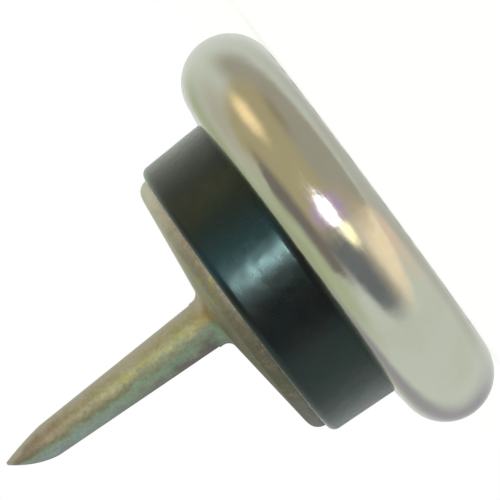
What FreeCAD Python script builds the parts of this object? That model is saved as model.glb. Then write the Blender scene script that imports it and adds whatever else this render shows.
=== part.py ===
import FreeCAD, Part
import math
import os

# A nail-on furniture glide, in millimetres and degrees.
# It stands on its sliding face at z = 0, centred on the Z axis, and its nail points up along +Z.

# Base cap: a shallow cup drawn from sheet steel, its wall rolled over and turned in at the top.
CAP_DIAMETER = 28.6
CAP_SHEET = 0.9
RIM_RADIUS = 3.05  # outside of the rolled rim
SHOULDER_RISE = 8.0  # slope of the straight shoulder between the rim and the lip
SHOULDER_WIDTH = 1.35  # that shoulder's run towards the axis
LIP_EDGE = 0.15  # broken upper edge of the lip

# Rubber puck: a moulded block with a bead round its foot, which the rim is rolled over.
PUCK_HEIGHT = 10.0  # from the floor of the cap to the ledge that carries the plate
PUCK_DRAFT = 2.5
PUCK_EDGE = 0.55
BEAD_CLEARANCE = 0.05
LIP_CLEARANCE = 0.05

# Top plate: a pressed cup washer, dished towards the nail, its rim turned down on to the puck.
PLATE_SETBACK = 0.63  # ledge of the puck that shows outside the plate
PLATE_SHEET = 0.6
PLATE_BEND = 0.25  # inside radius where the rim turns down
PLATE_SLOPE = 7.0
PLATE_CLEARANCE = 0.05
COLLAR_HEIGHT = 0.75  # thin burr drawn up round the pierced hole
COLLAR_WALL = 0.05
COLLAR_FILLET = 0.6

# Nail: a headed nail with a tapered round shank and a swelling round point.
NAIL_DIAMETER = 3.2
NAIL_PROJECTION = 15.8  # from the crown of the plate to the tip
NAIL_TAPER = 2.3  # each side, from the collar to the point
POINT_LENGTH = 3.0
POINT_SWELL = 0.15  # most that the point's outline bows out from straight
TIP_WIDTH = 0.2
TIP_OFFSET = 0.38  # the point bends a little to one side
HEAD_DIAMETER = 7.5
HEAD_THICKNESS = 1.3
HEAD_EDGE = 0.3
HEAD_TRAVEL = 0.8  # room under the head for the rubber to give
HEAD_CLEARANCE = 0.1
SHANK_CLEARANCE = 0.02

FILLET_LIMIT = 0.8  # most of a wall that a fillet on it may take

# Cap: centre of the rim's round, and the lip where the shoulder ends.
rise = math.radians(SHOULDER_RISE)
rim_centre_r = CAP_DIAMETER / 2 - RIM_RADIUS
shoulder_start_r = rim_centre_r + RIM_RADIUS * math.sin(rise)
shoulder_start_z = RIM_RADIUS + RIM_RADIUS * math.cos(rise)
lip_r = shoulder_start_r - SHOULDER_WIDTH
lip_top_z = shoulder_start_z + SHOULDER_WIDTH * math.tan(rise)
lip_bottom_z = lip_top_z - CAP_SHEET / math.cos(rise)

# Puck: the neck passes the lip, then tapers to the ledge.
floor_z = CAP_SHEET
ledge_z = floor_z + PUCK_HEIGHT
neck_r = lip_r - LIP_CLEARANCE
puck_top_r = neck_r - (ledge_z - lip_top_z) * math.tan(math.radians(PUCK_DRAFT))
bead_radius = RIM_RADIUS - CAP_SHEET - BEAD_CLEARANCE

# Plate: the rim stands on the ledge and the cone rises from the bend to the collar.
slope = math.radians(PLATE_SLOPE)
plate_r = puck_top_r - PLATE_SETBACK
bend_radius = PLATE_BEND + PLATE_SHEET
bend_centre_r = plate_r - bend_radius
nail_r = NAIL_DIAMETER / 2
shank_hole_r = nail_r + SHANK_CLEARANCE
collar_r = shank_hole_r + COLLAR_WALL

# Nail: head in its pocket, collar at the root of the taper, tip at the top.
head_bottom_z = floor_z + HEAD_TRAVEL
head_top_z = head_bottom_z + HEAD_THICKNESS
pocket_r = HEAD_DIAMETER / 2 + HEAD_CLEARANCE


def plate_top_z(radius):
    """Height of the plate's upper cone at a radius."""
    return ledge_z + bend_radius / math.cos(slope) + (bend_centre_r - radius) * math.tan(slope)


def plate_underside_z(radius):
    """Height of the plate's lower cone at a radius."""
    return plate_top_z(radius) - PLATE_SHEET / math.cos(slope)


crown_z = plate_top_z(collar_r)
collar_top_z = crown_z + COLLAR_HEIGHT
tip_z = crown_z + NAIL_PROJECTION
point_z = tip_z - POINT_LENGTH
point_r = nail_r - (point_z - collar_top_z) * math.tan(math.radians(NAIL_TAPER))


class Section:
    """Half of a cross-section in the XZ plane, drawn edge by edge and revolved about Z."""

    def __init__(self, radius, height):
        self.start = FreeCAD.Vector(radius, 0, height)
        self.pen = self.start
        self.edges = []

    def line_to(self, radius, height):
        target = FreeCAD.Vector(radius, 0, height)
        self.edges.append(Part.LineSegment(self.pen, target).toShape())
        self.pen = target

    def arc_about(self, centre_r, centre_z, sweep):
        """Turn about a centre by an angle, positive from +X towards +Z."""
        radius = math.hypot(self.pen.x - centre_r, self.pen.z - centre_z)
        begin = math.atan2(self.pen.z - centre_z, self.pen.x - centre_r)
        turned = [begin + math.radians(sweep) * share for share in (0.5, 1)]
        middle, target = [
            FreeCAD.Vector(centre_r + radius * math.cos(a), 0, centre_z + radius * math.sin(a)) for a in turned
        ]
        self.edges.append(Part.Arc(self.pen, middle, target).toShape())
        self.pen = target

    def revolved(self):
        self.line_to(self.start.x, self.start.z)
        face = Part.Face(Part.Wire(self.edges))
        return face.revolve(FreeCAD.Vector(0, 0, 0), FreeCAD.Vector(0, 0, 1), 360)


def rounded(solid, fillet, *rings):
    """Fillet the round edges that lie at the given radii and heights."""

    def is_ring(edge, radius, height):
        curve = edge.Curve
        if not isinstance(curve, Part.Circle):
            return False
        return abs(curve.Radius - radius) < 1e-5 and abs(curve.Center.z - height) < 1e-5

    edges = [edge for edge in solid.Edges if any(is_ring(edge, *ring) for ring in rings)]
    return solid.makeFillet(fillet, edges)


def base_cap():
    """Drawn cup: flat sliding floor, rolled rim, straight shoulder and lip, all of one sheet."""
    turn = 180 - SHOULDER_RISE
    section = Section(0, 0)
    section.line_to(rim_centre_r, 0)
    section.arc_about(rim_centre_r, RIM_RADIUS, turn)
    section.line_to(lip_r, lip_top_z)
    section.line_to(lip_r, lip_bottom_z)
    section.line_to(
        shoulder_start_r - CAP_SHEET * math.sin(rise),
        shoulder_start_z - CAP_SHEET * math.cos(rise),
    )
    section.arc_about(rim_centre_r, RIM_RADIUS, -turn)
    section.line_to(0, floor_z)
    return rounded(section.revolved(), LIP_EDGE, (lip_r, lip_top_z))


def rubber_puck():
    """Moulded puck: bead inside the rim, tapered wall, and a crown that fills the plate from below."""
    bead_end_r = rim_centre_r + bead_radius * math.sin(rise)
    bead_start_z = RIM_RADIUS - bead_radius
    crown_bend = PLATE_BEND - PLATE_CLEARANCE
    section = Section(pocket_r, floor_z)
    section.line_to(rim_centre_r - BEAD_CLEARANCE, floor_z)
    section.line_to(rim_centre_r, bead_start_z)
    section.arc_about(rim_centre_r, RIM_RADIUS, 180 - SHOULDER_RISE)
    section.line_to(neck_r, section.pen.z + (bead_end_r - neck_r) * math.tan(rise))
    section.line_to(neck_r, lip_top_z)
    section.line_to(puck_top_r, ledge_z)
    section.line_to(bend_centre_r + crown_bend, ledge_z)
    section.arc_about(bend_centre_r, ledge_z, 90 - PLATE_SLOPE)
    section.line_to(shank_hole_r, plate_underside_z(shank_hole_r) - PLATE_CLEARANCE / math.cos(slope))
    section.line_to(shank_hole_r, head_top_z)
    section.line_to(pocket_r, head_top_z)
    return rounded(section.revolved(), PUCK_EDGE, (puck_top_r, ledge_z))


def top_plate():
    """Cup washer: rim on the puck's ledge, bend, dished cone, and the collar of the pierced hole."""
    section = Section(shank_hole_r, collar_top_z)
    section.line_to(shank_hole_r, plate_underside_z(shank_hole_r))
    section.line_to(
        bend_centre_r + PLATE_BEND * math.sin(slope),
        ledge_z + PLATE_BEND * math.cos(slope),
    )
    section.arc_about(bend_centre_r, ledge_z, PLATE_SLOPE - 90)
    section.line_to(plate_r, ledge_z)
    section.arc_about(bend_centre_r, ledge_z, 90 - PLATE_SLOPE)
    section.line_to(collar_r, crown_z)
    section.line_to(collar_r, collar_top_z)
    fillet = min(COLLAR_FILLET, COLLAR_HEIGHT * FILLET_LIMIT)
    return rounded(section.revolved(), fillet, (collar_r, crown_z))


def point():
    """Round point that swells between the shank and the tip, its middle line bent towards +X."""
    rings = []
    for share in (0, 0.2, 0.4, 0.6, 0.8, 1):
        straight = point_r + (TIP_WIDTH / 2 - point_r) * share
        radius = straight + 4 * POINT_SWELL * share * (1 - share)
        middle = FreeCAD.Vector(TIP_OFFSET * share ** 2, 0, point_z + POINT_LENGTH * share)
        rings.append(Part.Wire(Part.makeCircle(radius, middle)))
    return Part.makeLoft(rings, True)


def nail():
    """Headed nail: flat head in the puck, round shank, taper from the collar up, and the point."""
    section = Section(0, head_bottom_z)
    section.line_to(HEAD_DIAMETER / 2, head_bottom_z)
    section.line_to(HEAD_DIAMETER / 2, head_top_z)
    section.line_to(nail_r, head_top_z)
    section.line_to(nail_r, collar_top_z)
    section.line_to(point_r, point_z)
    section.line_to(0, point_z)
    fillet = min(HEAD_EDGE, HEAD_THICKNESS * FILLET_LIMIT)
    shank = rounded(section.revolved(), fillet, (HEAD_DIAMETER / 2, head_bottom_z))
    return shank.fuse(point())


os.makedirs("parts", exist_ok=True)
for node, make in {
    "base_cap": base_cap,
    "rubber_puck": rubber_puck,
    "top_plate": top_plate,
    "nail": nail,
}.items():
    make().exportStep(f"parts/{node}.step")
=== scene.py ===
import math

import bpy
from mathutils import Matrix, Vector


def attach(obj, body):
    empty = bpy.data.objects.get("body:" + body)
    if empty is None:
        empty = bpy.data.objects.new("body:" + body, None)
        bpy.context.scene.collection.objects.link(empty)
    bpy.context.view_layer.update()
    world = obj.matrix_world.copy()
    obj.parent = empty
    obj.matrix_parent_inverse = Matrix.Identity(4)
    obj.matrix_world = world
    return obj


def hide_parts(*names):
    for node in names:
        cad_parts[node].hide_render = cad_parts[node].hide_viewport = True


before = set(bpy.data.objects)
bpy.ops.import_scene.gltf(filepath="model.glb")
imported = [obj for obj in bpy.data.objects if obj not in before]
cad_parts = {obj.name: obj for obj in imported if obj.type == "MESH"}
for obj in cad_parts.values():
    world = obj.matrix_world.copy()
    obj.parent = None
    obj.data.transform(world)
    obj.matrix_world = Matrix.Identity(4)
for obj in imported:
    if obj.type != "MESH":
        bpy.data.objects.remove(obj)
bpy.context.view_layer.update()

MM = 0.001

# The photograph's frame: where the centre of the cap's rim lies in it, its scale there and its roll.
PHOTO_SIDE = 500
RIM_PIXEL = (337.3, 227.6)
PIXELS_PER_MM = 16.04
NAIL_BELOW_LEFT = math.radians(36.47)
CAMERA_DISTANCE = 226.6 * MM
CAMERA_RISE = math.radians(0.3)
RIM_HEIGHT = 3.06 * MM
SENSOR_WIDTH = 36.0
NEAR_CLIP = CAMERA_DISTANCE / 20
FAR_CLIP = CAMERA_DISTANCE * 50

# Sizes in millimetres and slopes in degrees, as the solids have them.
CAP_RADIUS = 14.3
CAP_SHEET = 0.9
RIM_RADIUS = 3.05
SHOULDER_RISE = 8.0
SHOULDER_WIDTH = 1.35
LIP_EDGE = 0.15
LIP_GAP = 0.05
BEAD_GAP = 0.05
PUCK_LEDGE = 10.9
PUCK_DRAFT = 2.5
PUCK_EDGE = 0.55
POCKET_RADIUS = 3.85
PLATE_SETBACK = 0.63
PLATE_SHEET = 0.6
PLATE_BEND = 0.25
PLATE_SLOPE = 7.0
PLATE_GAP = 0.05
COLLAR_RADIUS = 1.67
COLLAR_HEIGHT = 0.75
COLLAR_FILLET = 0.6
HOLE_RADIUS = 1.62
NAIL_RADIUS = 1.6
NAIL_TAPER = 2.3
NAIL_PROJECTION = 15.8
POINT_LENGTH = 3.0
POINT_SWELL = 0.15
TIP_HALF = 0.1
TIP_OFFSET = 0.38
HEAD_RADIUS = 3.75
HEAD_BOTTOM = 1.7
HEAD_TOP = 3.0
HEAD_EDGE = 0.3

# Steps of the meshes: round the axis, and along each stretch of a section.
SEGMENTS = 288
FACE_STEPS = 24
RIM_STEPS = 80
HIDDEN_RIM_STEPS = 40
WALL_STEPS = 12
BEND_STEPS = 24
HIDDEN_BEND_STEPS = 8
CONE_STEPS = 24
CORNER_STEPS = 8
SHANK_ROOT_STEPS = 6
SHANK_STEPS = 30
POINT_STEPS = 40
SHARP_ANGLE = math.radians(32)

TURNS = [2 * math.pi * i / SEGMENTS for i in range(SEGMENTS)]


def tangent(degrees):
    return math.tan(math.radians(degrees))


def arc(centre, radius, start, end, steps):
    """Points of an arc about a centre, by angles in degrees from outward towards up."""
    turns = [math.radians(start + (end - start) * i / steps) for i in range(steps + 1)]
    return [(centre[0] + radius * math.cos(turn), centre[1] + radius * math.sin(turn)) for turn in turns]


def line(start, end, steps):
    """Points from a start up to, but not at, an end."""
    return [tuple(a + (b - a) * i / steps for a, b in zip(start, end)) for i in range(steps)]


def corner(before, point, after, radius):
    """Points of the round that replaces a corner of a section."""
    at = Vector(point)
    first = (Vector(before) - at).normalized()
    second = (Vector(after) - at).normalized()
    half = first.angle(second) / 2
    centre = at + (first + second).normalized() * (radius / math.sin(half))
    start = at + first * (radius / math.tan(half)) - centre
    end = at + second * (radius / math.tan(half)) - centre
    turn = start.angle_signed(end)
    spin = [Matrix.Rotation(-turn * i / CORNER_STEPS, 2) @ start for i in range(CORNER_STEPS + 1)]
    return [tuple(centre + arm) for arm in spin]


def skin(name, rings, loop=False):
    """Closed surface over rings of points in millimetres; a ring of one point is a pole."""
    points = [Vector(point) * MM for ring in rings for point in ring]
    starts = [sum(len(ring) for ring in rings[:i]) for i in range(len(rings))]
    faces = []
    for low in range(len(rings) if loop else len(rings) - 1):
        high = (low + 1) % len(rings)
        for i in range(SEGMENTS):
            k = (i + 1) % SEGMENTS
            around = [(low, i), (low, k), (high, k), (high, i)]
            face = [starts[ring] + step % len(rings[ring]) for ring, step in around]
            faces.append(list(dict.fromkeys(face)))
    mesh = bpy.data.meshes.new(name)
    mesh.from_pydata(points, [], faces)
    mesh.shade_smooth()
    mesh.set_sharp_from_angle(angle=SHARP_ANGLE)
    mesh.update()
    piece = bpy.data.objects.new(name, mesh)
    bpy.context.scene.collection.objects.link(piece)
    return piece


def turned(radius, height, aside=0.0):
    """Ring of points about the axis, or one point on it."""
    if radius == 0:
        return [(0, 0, height)]
    return [(aside + radius * math.cos(turn), radius * math.sin(turn), height) for turn in TURNS]


def lathe(name, section, loop=False):
    """Section of radii and heights, turned about the axis."""
    return skin(name, [turned(radius, height) for radius, height in section], loop)


# What follows from the sizes: slopes in radians, lengths, and places as a radius and a height.
rise = math.radians(SHOULDER_RISE)
slope = math.radians(PLATE_SLOPE)
rim = (CAP_RADIUS - RIM_RADIUS, RIM_RADIUS)
shoulder = (rim[0] + RIM_RADIUS * math.sin(rise), rim[1] + RIM_RADIUS * math.cos(rise))
lip = (shoulder[0] - SHOULDER_WIDTH, shoulder[1] + SHOULDER_WIDTH * math.tan(rise))
neck = (lip[0] - LIP_GAP, lip[1])
puck_top = (neck[0] - (PUCK_LEDGE - lip[1]) * tangent(PUCK_DRAFT), PUCK_LEDGE)
bend_radius = PLATE_BEND + PLATE_SHEET
bend = (puck_top[0] - PLATE_SETBACK - bend_radius, PUCK_LEDGE)


def plate_top(radius):
    """Height of the plate's upper cone at a radius."""
    return PUCK_LEDGE + bend_radius / math.cos(slope) + (bend[0] - radius) * math.tan(slope)


crown = plate_top(COLLAR_RADIUS)
collar_top = crown + COLLAR_HEIGHT
tip_height = crown + NAIL_PROJECTION


def make_cap():
    """One sheet: sliding face, rolled rim, shoulder and lip, and back along its inside."""
    lip_foot = (lip[0], lip[1] - CAP_SHEET / math.cos(rise))
    section = line((0, 0), (rim[0], 0), FACE_STEPS)
    section += arc(rim, RIM_RADIUS, -90, 90 - SHOULDER_RISE, RIM_STEPS)
    section += corner(shoulder, lip, lip_foot, LIP_EDGE)
    section += [lip_foot]
    section += arc(rim, RIM_RADIUS - CAP_SHEET, 90 - SHOULDER_RISE, -90, HIDDEN_RIM_STEPS)
    section += [(0, CAP_SHEET)]
    return lathe("cap", section)


def make_puck():
    """Bead inside the rim, tapered wall, crown under the plate, and the bore and pocket of the nail."""
    bead_radius = RIM_RADIUS - CAP_SHEET - BEAD_GAP
    bead = arc(rim, bead_radius, -90, 90 - SHOULDER_RISE, HIDDEN_RIM_STEPS)
    under_lip = (neck[0], bead[-1][1] + (bead[-1][0] - neck[0]) * math.tan(rise))
    seat = plate_top(HOLE_RADIUS) - (PLATE_SHEET + PLATE_GAP) / math.cos(slope)
    section = [(POCKET_RADIUS, CAP_SHEET), (rim[0] - BEAD_GAP, CAP_SHEET)]
    section += bead
    section += [under_lip]
    # The wall's last step makes room for its rounded edge.
    section += line(neck, puck_top, WALL_STEPS)[:-1]
    section += corner(neck, puck_top, bend, PUCK_EDGE)
    section += arc(bend, PLATE_BEND - PLATE_GAP, 0, 90 - PLATE_SLOPE, HIDDEN_BEND_STEPS)
    section += [(HOLE_RADIUS, seat), (HOLE_RADIUS, HEAD_TOP), (POCKET_RADIUS, HEAD_TOP)]
    return lathe("puck", section, loop=True)


def make_plate():
    """Cup washer: hole, underside, turned-down rim, upper cone and the collar round the nail."""
    root = (COLLAR_RADIUS, crown)
    underside = plate_top(HOLE_RADIUS) - PLATE_SHEET / math.cos(slope)
    section = [(HOLE_RADIUS, collar_top), (HOLE_RADIUS, underside)]
    section += arc(bend, PLATE_BEND, 90 - PLATE_SLOPE, 0, HIDDEN_BEND_STEPS)
    section += arc(bend, bend_radius, 0, 90 - PLATE_SLOPE, BEND_STEPS)
    # The cone's first point is there already, and its last steps make room for the fillet.
    section += line(section[-1], root, CONE_STEPS)[1:-2]
    section += corner(section[-1], root, (COLLAR_RADIUS, collar_top), COLLAR_FILLET)
    section += [(COLLAR_RADIUS, collar_top)]
    return lathe("plate", section, loop=True)


def make_nail():
    """Head, shank with its taper, and a swelling point whose middle line bends towards +X."""
    foot = (HEAD_RADIUS, HEAD_BOTTOM)
    point_height = tip_height - POINT_LENGTH
    point_radius = NAIL_RADIUS - (point_height - collar_top) * tangent(NAIL_TAPER)
    section = [(0, HEAD_BOTTOM)]
    section += corner((0, HEAD_BOTTOM), foot, (HEAD_RADIUS, HEAD_TOP), HEAD_EDGE)
    section += [(HEAD_RADIUS, HEAD_TOP)]
    section += line((NAIL_RADIUS, HEAD_TOP), (NAIL_RADIUS, collar_top), SHANK_ROOT_STEPS)
    section += line((NAIL_RADIUS, collar_top), (point_radius, point_height), SHANK_STEPS)
    rings = [turned(radius, height) for radius, height in section]
    for step in range(POINT_STEPS + 1):
        share = step / POINT_STEPS
        straight = point_radius + (TIP_HALF - point_radius) * share
        radius = straight + 4 * POINT_SWELL * share * (1 - share)
        rings.append(turned(radius, point_height + POINT_LENGTH * share, TIP_OFFSET * share ** 2))
    rings.append([(TIP_OFFSET, 0, tip_height)])
    return skin("nail_body", rings)


class Graph:
    """A node tree with short ways to add nodes and join them; an input is a value or an output."""

    def __init__(self, tree):
        self.tree = tree

    def feed(self, socket, value):
        if isinstance(value, bpy.types.NodeSocket):
            self.tree.links.new(value, socket)
        else:
            socket.default_value = value

    def feed_named(self, node, inputs):
        """Feed inputs by their names, written with _ for a space."""
        for name, value in inputs.items():
            self.feed(node.inputs[name.replace("_", " ")], value)

    def add(self, kind, settings=None, **inputs):
        """New node with some of its properties and inputs."""
        node = self.tree.nodes.new(kind)
        for name, value in (settings or {}).items():
            setattr(node, name, value)
        self.feed_named(node, inputs)
        return node

    def math(self, operation, a, b=0.0):
        node = self.add("ShaderNodeMath", {"operation": operation})
        self.feed(node.inputs[0], a)
        self.feed(node.inputs[1], b)
        return node.outputs[0]

    def times(self, value, *others):
        for other in others:
            value = self.math("MULTIPLY", value, other)
        return value

    def plus(self, value, *others):
        for other in others:
            value = self.math("ADD", value, other)
        return value

    def ramp(self, value, low, high, start=0.0, end=1.0):
        """Smooth step from start, where the value is low, to end, where it is high."""
        node = self.add(
            "ShaderNodeMapRange", {"interpolation_type": "SMOOTHSTEP"},
            Value=value, From_Min=low, From_Max=high, To_Min=start, To_Max=end,
        )
        return node.outputs["Result"]

    def band(self, value, up, down):
        """Share that grows from 0 to 1 over one span of the value and falls back over another."""
        return self.times(self.ramp(value, *up), self.ramp(value, *down, 1.0, 0.0))

    def mix(self, share, a, b):
        """Mix of two colours, whose sockets on this node come after those of other kinds."""
        node = self.add("ShaderNodeMix", {"data_type": "RGBA"})
        self.feed(node.inputs[0], share)
        self.feed(node.inputs[6], a)
        self.feed(node.inputs[7], b)
        return node.outputs[2]

    def noise(self, place, scale, detail=3.0):
        node = self.add("ShaderNodeTexNoise", Vector=place, Scale=scale, Detail=detail)
        return node.outputs["Fac"]

    def stretched(self, place, x, y, z):
        node = self.add("ShaderNodeVectorMath", {"operation": "MULTIPLY"}, Vector=place)
        node.inputs[1].default_value = (x, y, z)
        return node.outputs["Vector"]

    def blend(self, share, first, second):
        node = self.add("ShaderNodeMixShader")
        self.feed(node.inputs[0], share)
        self.feed(node.inputs[1], first.outputs[0])
        self.feed(node.inputs[2], second.outputs[0])
        return node


def rgb(red, green, blue):
    return (red, green, blue, 1.0)


def grey(level):
    return rgb(level, level, level)


WHITE = grey(1)

# Colours of the studio, as they show in the metal.
TENT = rgb(0.76, 0.80, 0.75)
TENT_TOP = rgb(0.57, 0.63, 0.45)
TENT_CORNER = rgb(0.62, 0.60, 0.52)
TENT_BACK = rgb(0.50, 0.54, 0.38)
BACK_FLOOR = rgb(0.63, 0.63, 0.60)
GREY_CLOTH = rgb(0.42, 0.40, 0.45)
RIGHT_FLOOR = rgb(0.48, 0.45, 0.39)
FLOOR_SHADE = rgb(0.36, 0.31, 0.22)
ROOM_LEFT = rgb(0.195, 0.21, 0.235)
ROOM_RIGHT = rgb(0.55, 0.48, 0.31)
ROOM_TOP = rgb(0.24, 0.21, 0.20)
TABLE_BACK = rgb(1.02, 0.78, 0.66)
TABLE_LEFT = rgb(1.27, 1.05, 0.80)
TABLE_RIGHT = rgb(0.56, 0.48, 0.38)
SIDE_LAMP = rgb(1.45, 1.12, 0.66)
YELLOW_LAMP = rgb(2.2, 2.0, 1.3)
LILAC_HALO = rgb(0.60, 0.43, 0.70)
KEY_HALO = grey(2.0)
KEY_LAMP = grey(86)

ROOM_LEAN = 0.57  # fall of the room's upper edge for each degree towards -X
FAR = 400  # an angle past every direction, for a side that is left open


class Studio(Graph):
    """The world's colour by direction: bearing from the camera's side towards +X, and height."""

    def __init__(self):
        world = bpy.data.worlds.new("studio")
        bpy.context.scene.world = world
        world.use_nodes = True
        world.node_tree.nodes.clear()
        super().__init__(world.node_tree)
        direction = self.add("ShaderNodeTexCoord").outputs["Generated"]
        x, y, z = self.add("ShaderNodeSeparateXYZ", Vector=direction).outputs
        self.bearing = self.math("ARCTAN2", x, self.times(y, -1.0))
        self.height = self.math("ARCSINE", z)
        self.colour = TENT

    def turn(self, value, low, high, start=0.0, end=1.0):
        """Smooth step between two angles in degrees."""
        return self.ramp(value, math.radians(low), math.radians(high), start, end)

    def window(self, value, low, high, soft):
        """Share of 1 between two angles in degrees, with soft edges."""
        low, high, soft = (math.radians(angle) for angle in (low, high, soft))
        return self.band(value, (low - soft, low + soft), (high - soft, high + soft))

    def cover(self, tint, *shares):
        self.colour = self.mix(self.times(*shares), self.colour, tint)

    def patch(self, tint, bearings, heights, soft):
        """Cover a field between two bearings and two heights."""
        across = self.window(self.bearing, *bearings, soft)
        self.cover(tint, across, self.window(self.height, *heights, soft))

    def glow(self, tint, centre, size, edge):
        """Cover an oval, given its half width and half height, with an edge as a share of them."""
        squares = []
        for value, middle, reach in zip((self.bearing, self.height), centre, size):
            offset = self.math("SUBTRACT", value, math.radians(middle))
            squares.append(self.math("POWER", self.math("DIVIDE", offset, math.radians(reach)), 2.0))
        spread = self.math("SQRT", self.plus(*squares))
        self.cover(tint, self.ramp(spread, 1.0 - edge, 1.0 + edge, 1.0, 0.0))


def make_world():
    """White tent, open towards the camera, where a dim room, a table and lamps show in the metal."""
    studio = Studio()
    bearing = studio.bearing
    height = studio.height
    aside = studio.math("ABSOLUTE", bearing)

    # The tent, and the floor behind and to the right of the part.
    studio.cover(TENT_TOP, studio.turn(height, 48, 74))
    studio.glow(TENT_CORNER, centre=(116, 43), size=(30, 20), edge=0.8)
    studio.cover(TENT_BACK, studio.window(aside, 148, FAR, 14), studio.window(height, 18, FAR, 10))
    studio.cover(BACK_FLOOR, studio.window(aside, 150, FAR, 20), studio.window(height, -FAR, -25, 12))
    studio.patch(GREY_CLOTH, bearings=(-168, -140), heights=(-16, 60), soft=12)
    studio.patch(RIGHT_FLOOR, bearings=(4, 128), heights=(-FAR, 2), soft=13)
    studio.glow(FLOOR_SHADE, centre=(74, -29), size=(14, 9), edge=0.7)

    # The dim room in front, whose upper edge leans down towards -X.
    room = studio.mix(studio.turn(bearing, -12, 10), ROOM_LEFT, ROOM_RIGHT)
    lean = studio.math("MAXIMUM", studio.times(bearing, -ROOM_LEAN), 0.0)
    opening = studio.times(studio.window(bearing, -52, 100, 10), studio.window(height, -28, FAR, 10))
    studio.cover(room, opening, studio.window(studio.plus(height, lean), -FAR, 56, 10))

    # The bright table below it.
    studio.patch(TABLE_BACK, bearings=(-166, -50), heights=(-FAR, -70), soft=14)
    table = studio.mix(studio.turn(bearing, -26, 10), TABLE_LEFT, TABLE_RIGHT)
    front = studio.times(studio.window(bearing, -56, 22, 12), studio.window(height, -FAR, -24, 28))
    studio.cover(table, front, studio.turn(height, -90, -72, 0.5, 1.0))

    # The dark top of the room, and the lamps.
    studio.patch(ROOM_TOP, bearings=(-34, 74), heights=(44, 72), soft=9)
    studio.glow(SIDE_LAMP, centre=(77, 12), size=(15, 9), edge=0.8)
    studio.glow(YELLOW_LAMP, centre=(-5, -12), size=(7, 12), edge=0.5)
    studio.glow(LILAC_HALO, centre=(10, -2), size=(9, 38), edge=0.35)
    studio.glow(KEY_HALO, centre=(9, -2), size=(6, 16), edge=0.3)
    studio.glow(KEY_LAMP, centre=(10, -2), size=(3, 8), edge=0.4)

    studio.cover(WHITE, studio.add("ShaderNodeLightPath").outputs["Is Camera Ray"])
    sky = studio.add("ShaderNodeBackground", Color=studio.colour, Strength=1.0)
    studio.add("ShaderNodeOutputWorld", Surface=sky.outputs[0])


FLOOR_HALF = 600 * MM
FLOOR_DROP = 0.02 * MM
FLOOR_PALE = grey(0.9)
FLOOR_SHADED = grey(0.4)
FLOOR_GLOW = 0.8


def make_floor():
    """Pale floor, white to the camera but for the object's shadow near it."""
    corners = [(x * FLOOR_HALF, y * FLOOR_HALF, 0) for x, y in ((-1, -1), (1, -1), (1, 1), (-1, 1))]
    mesh = bpy.data.meshes.new("floor")
    mesh.from_pydata(corners, [], [(0, 1, 2, 3)])
    floor = bpy.data.objects.new("floor", mesh)
    floor.location.z = -FLOOR_DROP
    bpy.context.scene.collection.objects.link(floor)
    material = bpy.data.materials.new("floor")
    material.use_nodes = True
    material.node_tree.nodes.clear()
    graph = Graph(material.node_tree)
    path = graph.add("ShaderNodeLightPath").outputs
    pale = graph.add("ShaderNodeBsdfDiffuse", Color=FLOOR_PALE)
    bright = graph.add("ShaderNodeEmission", Color=WHITE, Strength=FLOOR_GLOW)
    shaded = graph.add("ShaderNodeBsdfDiffuse", Color=FLOOR_SHADED)
    white = graph.add("ShaderNodeAddShader")
    graph.feed(white.inputs[0], bright.outputs[0])
    graph.feed(white.inputs[1], shaded.outputs[0])
    clear = graph.add("ShaderNodeBsdfTransparent")
    shown = graph.blend(path["Is Camera Ray"], pale, white)
    mirrored = graph.math("MAXIMUM", path["Is Glossy Ray"], path["Is Transmission Ray"])
    under = graph.add("ShaderNodeNewGeometry").outputs["Backfacing"]
    surface = graph.blend(graph.math("MAXIMUM", mirrored, under), shown, clear)
    graph.add("ShaderNodeOutputMaterial", Surface=surface.outputs[0])
    mesh.materials.append(material)


class Surface(Graph):
    """A material of one Principled shader, with places in millimetres."""

    NOISE_SPAN = (0.3, 0.7)  # where most of a noise's values lie

    def __init__(self, name):
        self.material = bpy.data.materials.new(name)
        self.material.use_nodes = True
        super().__init__(self.material.node_tree)
        self.shader = self.tree.nodes["Principled BSDF"]
        coords = self.add("ShaderNodeTexCoord").outputs["Object"]
        self.place = self.stretched(coords, 1 / MM, 1 / MM, 1 / MM)
        x, _, self.z = self.add("ShaderNodeSeparateXYZ", Vector=self.place).outputs
        flat = self.stretched(self.place, 1, 1, 0)
        length = self.add("ShaderNodeVectorMath", {"operation": "LENGTH"}, Vector=flat)
        self.radius = length.outputs["Value"]
        # From -1 on the side of -X to 1 on the side of +X.
        self.side = self.math("DIVIDE", x, self.radius)
        self.tint = WHITE

    def set(self, **inputs):
        self.feed_named(self.shader, inputs)

    def spread(self, noise, start=0.0, end=1.0):
        """Noise spread over a range."""
        return self.ramp(noise, *self.NOISE_SPAN, start, end)

    def rings(self, scale):
        """Noise that runs round the axis in fine lines."""
        place = self.add("ShaderNodeCombineXYZ", X=self.radius, Y=self.z).outputs[0]
        return self.noise(place, scale, 2.0)

    def paint(self, colour, *shares):
        """Lay a colour over the tint, by the product of some shares."""
        self.tint = self.mix(self.times(*shares), self.tint, colour)

    def relief(self, height, depth):
        bump = self.add("ShaderNodeBump", Height=height, Strength=1.0, Distance=depth * MM)
        self.feed(self.shader.inputs["Normal"], bump.outputs[0])


NICKEL_DULL = rgb(0.62, 0.62, 0.53)
NICKEL_CLEAR = rgb(0.64, 0.645, 0.57)
NICKEL_LIP_SHADE = rgb(0.18, 0.16, 0.12)
NICKEL_WORN = rgb(0.40, 0.39, 0.33)
NICKEL_TURNED = rgb(0.74, 0.74, 0.66)
LIP_SHADE_RADII = (10.35, 10.65)
SLIDING_HEIGHTS = (0.02, 0.2)


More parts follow.
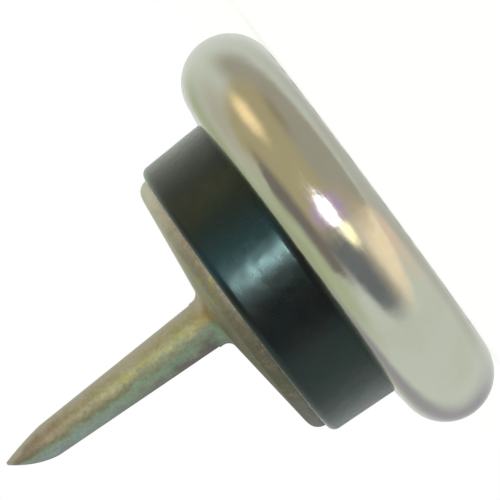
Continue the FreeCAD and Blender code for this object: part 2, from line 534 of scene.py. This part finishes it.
def nickel():
    """Bright plate with painted shade at the lip next to the rubber, worn and finely turned on the sliding
    face.
    """
    surface = Surface("nickel")
    cloud = surface.noise(surface.place, scale=0.35)
    fine = surface.noise(surface.place, scale=2.2)
    waves = surface.noise(surface.place, scale=0.8, detail=1.0)
    wear = surface.noise(surface.place, scale=0.9, detail=6.0)
    lines = surface.rings(scale=5.0)
    face = surface.ramp(surface.z, *SLIDING_HEIGHTS, 1.0, 0.0)
    scuffs = surface.times(surface.ramp(wear, 0.4, 0.65), face)
    surface.tint = surface.mix(surface.ramp(cloud, 0.35, 0.65), NICKEL_DULL, NICKEL_CLEAR)
    # Painted shade round the radius of the lip, where the cap meets the rubber.
    surface.paint(NICKEL_LIP_SHADE, surface.ramp(surface.radius, *LIP_SHADE_RADII, 0.5, 0.0))
    surface.paint(NICKEL_WORN, scuffs, 0.45)
    surface.paint(NICKEL_TURNED, face, surface.ramp(lines, 0.45, 0.7, 0.0, 0.4))
    rough = surface.plus(
        surface.spread(fine, 0.10, 0.16), surface.spread(lines, 0.0, 0.05), surface.times(scuffs, 0.2),
    )
    surface.set(Base_Color=surface.tint, Metallic=1.0, Roughness=rough)
    surface.relief(surface.plus(fine, surface.times(lines, 0.2), surface.times(waves, 4.0)), depth=0.004)
    return surface.material


RUBBER_BLACK = rgb(0.004, 0.004, 0.004)
RUBBER_BROWN = rgb(0.011, 0.005, 0.004)
RUBBER_PAINTED_REFLECTION = rgb(0.006, 0.030, 0.045)
RUBBER_DUST_AND_SHEEN = rgb(0.050, 0.038, 0.024)
RUBBER_GLOSS = rgb(0.60, 0.98, 0.96)
RUBBER_SHEEN = rgb(0.85, 1.0, 0.97)
UPPER_WALL = (7.5, 10.5)


def rubber():
    """Black moulded rubber with a painted blue reflection beside the middle, a little dust with painted
    light on +X, and a soft sheen.
    """
    surface = Surface("rubber")
    cloud = surface.noise(surface.place, scale=0.5)
    waves = surface.noise(surface.place, scale=0.9, detail=1.0)
    grain = surface.noise(surface.place, scale=9.0, detail=2.0)
    surface.tint = surface.mix(surface.spread(cloud), RUBBER_BLACK, RUBBER_BROWN)
    # A painted blue reflection beside the middle of the rubber.
    surface.paint(RUBBER_PAINTED_REFLECTION, surface.band(surface.side, up=(0.02, 0.22), down=(0.2, 0.58)))
    # A little dust with painted light, growing towards the +X side.
    surface.paint(RUBBER_DUST_AND_SHEEN, surface.ramp(surface.side, 0.7, 0.98))
    rough = surface.plus(
        surface.spread(waves, 0.22, 0.28),
        surface.spread(grain, 0.0, 0.04),
        surface.ramp(surface.z, *UPPER_WALL, 0.0, 0.05),
    )
    surface.set(Base_Color=surface.tint, Roughness=rough, IOR=1.5, Specular_Tint=RUBBER_GLOSS)
    surface.set(Sheen_Weight=0.6, Sheen_Roughness=0.35, Sheen_Tint=RUBBER_SHEEN)
    surface.relief(surface.plus(waves, surface.times(grain, 0.02)), depth=0.025)
    return surface.material


# Colours of the zinc, with painted light and shade among them: pairs for the nail and the plate, then what
# is laid over them.
NAIL_WARM_LIT = rgb(0.465, 0.485, 0.31)
PLATE_WARM_LIT = rgb(0.41, 0.40, 0.33)
NAIL_COOL_SHADED = rgb(0.35, 0.45, 0.345)
PLATE_COOL_SHADED = rgb(0.20, 0.195, 0.145)
NAIL_PAINTED_LIGHT = rgb(0.60, 0.60, 0.55)
PLATE_PAINTED_LIGHT = rgb(0.80, 0.80, 0.73)
ZINC_DARK_LINE = rgb(0.21, 0.19, 0.09)
ZINC_YELLOW = rgb(0.47, 0.49, 0.205)
ZINC_STREAK = rgb(0.38, 0.31, 0.23)
ZINC_ROOT_BROWN = rgb(0.47, 0.36, 0.16)
ZINC_SHADED_EDGE = rgb(0.31, 0.31, 0.32)
POINT_BROWN = rgb(0.32, 0.27, 0.21)
POINT_BLUE = rgb(0.38, 0.47, 0.47)
ROOT_SHADE = rgb(0.21, 0.17, 0.17)

# Radii and heights over which these change, in millimetres.
NAIL_TO_PLATE = (1.8, 3.4)
SHANK_EDGE = (1.75, 2.2)
ROOT_BROWN_RADII = (1.9, 4.2)
ROOT_BROWN_HEIGHTS = (12.4, 14.6)
DARK_LINE_HEIGHTS = (14.0, 22.0)
ROOT_HEIGHTS = (15.0, 22.0)
BLUE_HEIGHTS = (18.0, 25.0)
BROWN_HEIGHTS = (20.0, 25.5)


def zinc(name):
    """Yellow passivated zinc with painted light and shade: warm and lit on +X, green and shaded on -X,
    greyer on the plate.
    """
    surface = Surface(name)
    z = surface.z
    radius = surface.radius
    streaks = surface.noise(surface.stretched(surface.place, 1.0, 1.0, 0.15), scale=2.6, detail=4.0)
    spots = surface.noise(surface.stretched(surface.place, 1.0, 1.0, 0.5), scale=1.5, detail=2.0)
    cloud = surface.noise(surface.place, scale=0.9)
    fine = surface.noise(surface.place, scale=5.0)
    plate = surface.ramp(radius, *NAIL_TO_PLATE)
    shank = surface.ramp(radius, *SHANK_EDGE, 1.0, 0.0)
    drift = surface.math("SUBTRACT", cloud, 0.5)
    drift = surface.times(drift, surface.ramp(radius, *NAIL_TO_PLATE, 1.0, 0.35))
    side = surface.plus(surface.side, drift)

    # Painted light on +X and painted shade on -X, over the zinc's warm and green tints.
    cool_shaded = surface.mix(plate, NAIL_COOL_SHADED, PLATE_COOL_SHADED)
    warm_lit = surface.mix(plate, NAIL_WARM_LIT, PLATE_WARM_LIT)
    painted_light = surface.mix(plate, NAIL_PAINTED_LIGHT, PLATE_PAINTED_LIGHT)
    surface.tint = surface.mix(surface.ramp(side, -0.45, 0.35), cool_shaded, warm_lit)

    # A painted dark reflection along the middle, between the two sides, and yellow spots beside it.
    dark_line = surface.band(side, up=(-0.45, -0.12), down=(-0.12, 0.25))
    surface.paint(ZINC_DARK_LINE, dark_line, surface.ramp(z, *DARK_LINE_HEIGHTS, 0.2, 0.6))
    beside = surface.band(side, up=(0.0, 0.2), down=(0.3, 0.6))
    surface.paint(ZINC_YELLOW, beside, surface.ramp(spots, 0.48, 0.6, 0.0, 0.6))

    # The point, browner on the warm side and bluer on the cool one.
    browner = surface.ramp(side, -0.35, 0.1)
    bluer = surface.ramp(side, -0.65, -0.3, 1.0, 0.0)
    surface.paint(POINT_BROWN, browner, surface.ramp(z, *BROWN_HEIGHTS, 0.0, 0.75))
    surface.paint(POINT_BLUE, bluer, surface.ramp(z, *BLUE_HEIGHTS, 0.0, 0.7))

    # Streaks along the nail, and a browner colour round its root on the +X side.
    surface.paint(ZINC_STREAK, surface.ramp(streaks, 0.5, 0.7, 0.0, 0.5))
    low = surface.ramp(z, *ROOT_BROWN_HEIGHTS, 0.75, 0.0)
    near = surface.ramp(radius, *ROOT_BROWN_RADII, 1.0, 0.0)
    surface.paint(ZINC_ROOT_BROWN, low, near, surface.ramp(side, -0.35, 0.2))

    # The outermost sides: painted light on +X, painted shade in grey on -X, and darker painted shade there
    # near the nail's root.
    surface.paint(painted_light, surface.ramp(side, 0.35, 0.95, 0.0, 0.85))
    # Painted shade, a grey along the -X side.
    surface.paint(ZINC_SHADED_EDGE, surface.ramp(side, -1.0, -0.6, 0.6, 0.0))
    # Painted shade near the nail's root on -X, by the plate.
    root = surface.times(shank, surface.ramp(z, *ROOT_HEIGHTS, 1.0, 0.0))
    surface.paint(ROOT_SHADE, root, surface.ramp(side, -0.95, -0.5, 0.75, 0.0))

    surface.set(Base_Color=surface.tint, Metallic=1.0, Roughness=surface.spread(fine, 0.6, 0.76))
    surface.relief(surface.plus(streaks, surface.times(fine, 0.4)), depth=0.012)
    return surface.material


def finish(piece, node, material):
    piece.data.materials.append(material)
    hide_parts(node)
    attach(piece, "root")


def make_camera():
    """Camera at the photograph's angle, rolled so that the nail points down to the left."""
    right = Vector((-math.sin(NAIL_BELOW_LEFT), 0, -math.cos(NAIL_BELOW_LEFT)))
    up = Vector((math.cos(NAIL_BELOW_LEFT), 0, -math.sin(NAIL_BELOW_LEFT)))
    rim_middle = Vector((0, 0, RIM_HEIGHT))
    eye = rim_middle + CAMERA_DISTANCE * Vector((0, -math.cos(CAMERA_RISE), math.sin(CAMERA_RISE)))
    pixel = MM / PIXELS_PER_MM
    across = (PHOTO_SIDE / 2 - RIM_PIXEL[0]) * pixel
    down = (PHOTO_SIDE / 2 - RIM_PIXEL[1]) * pixel
    aim = rim_middle + right * across - up * down
    back = (eye - aim).normalized()
    side = (right - right.dot(back) * back).normalized()
    turn = Matrix((side, back.cross(side), back)).transposed()
    data = bpy.data.cameras.new("camera")
    data.sensor_width = SENSOR_WIDTH
    data.lens = SENSOR_WIDTH * CAMERA_DISTANCE / (PHOTO_SIDE * pixel)
    data.clip_start = NEAR_CLIP
    data.clip_end = FAR_CLIP
    camera = bpy.data.objects.new("camera", data)
    camera.matrix_world = Matrix.Translation(eye) @ turn.to_4x4()
    bpy.context.scene.collection.objects.link(camera)
    bpy.context.scene.camera = camera


make_camera()
make_world()
make_floor()
finish(make_cap(), "base_cap", nickel())
finish(make_puck(), "rubber_puck", rubber())
finish(make_plate(), "top_plate", zinc("plate"))
finish(make_nail(), "nail", zinc("nail"))

bpy.context.scene.view_settings.view_transform = "Standard"
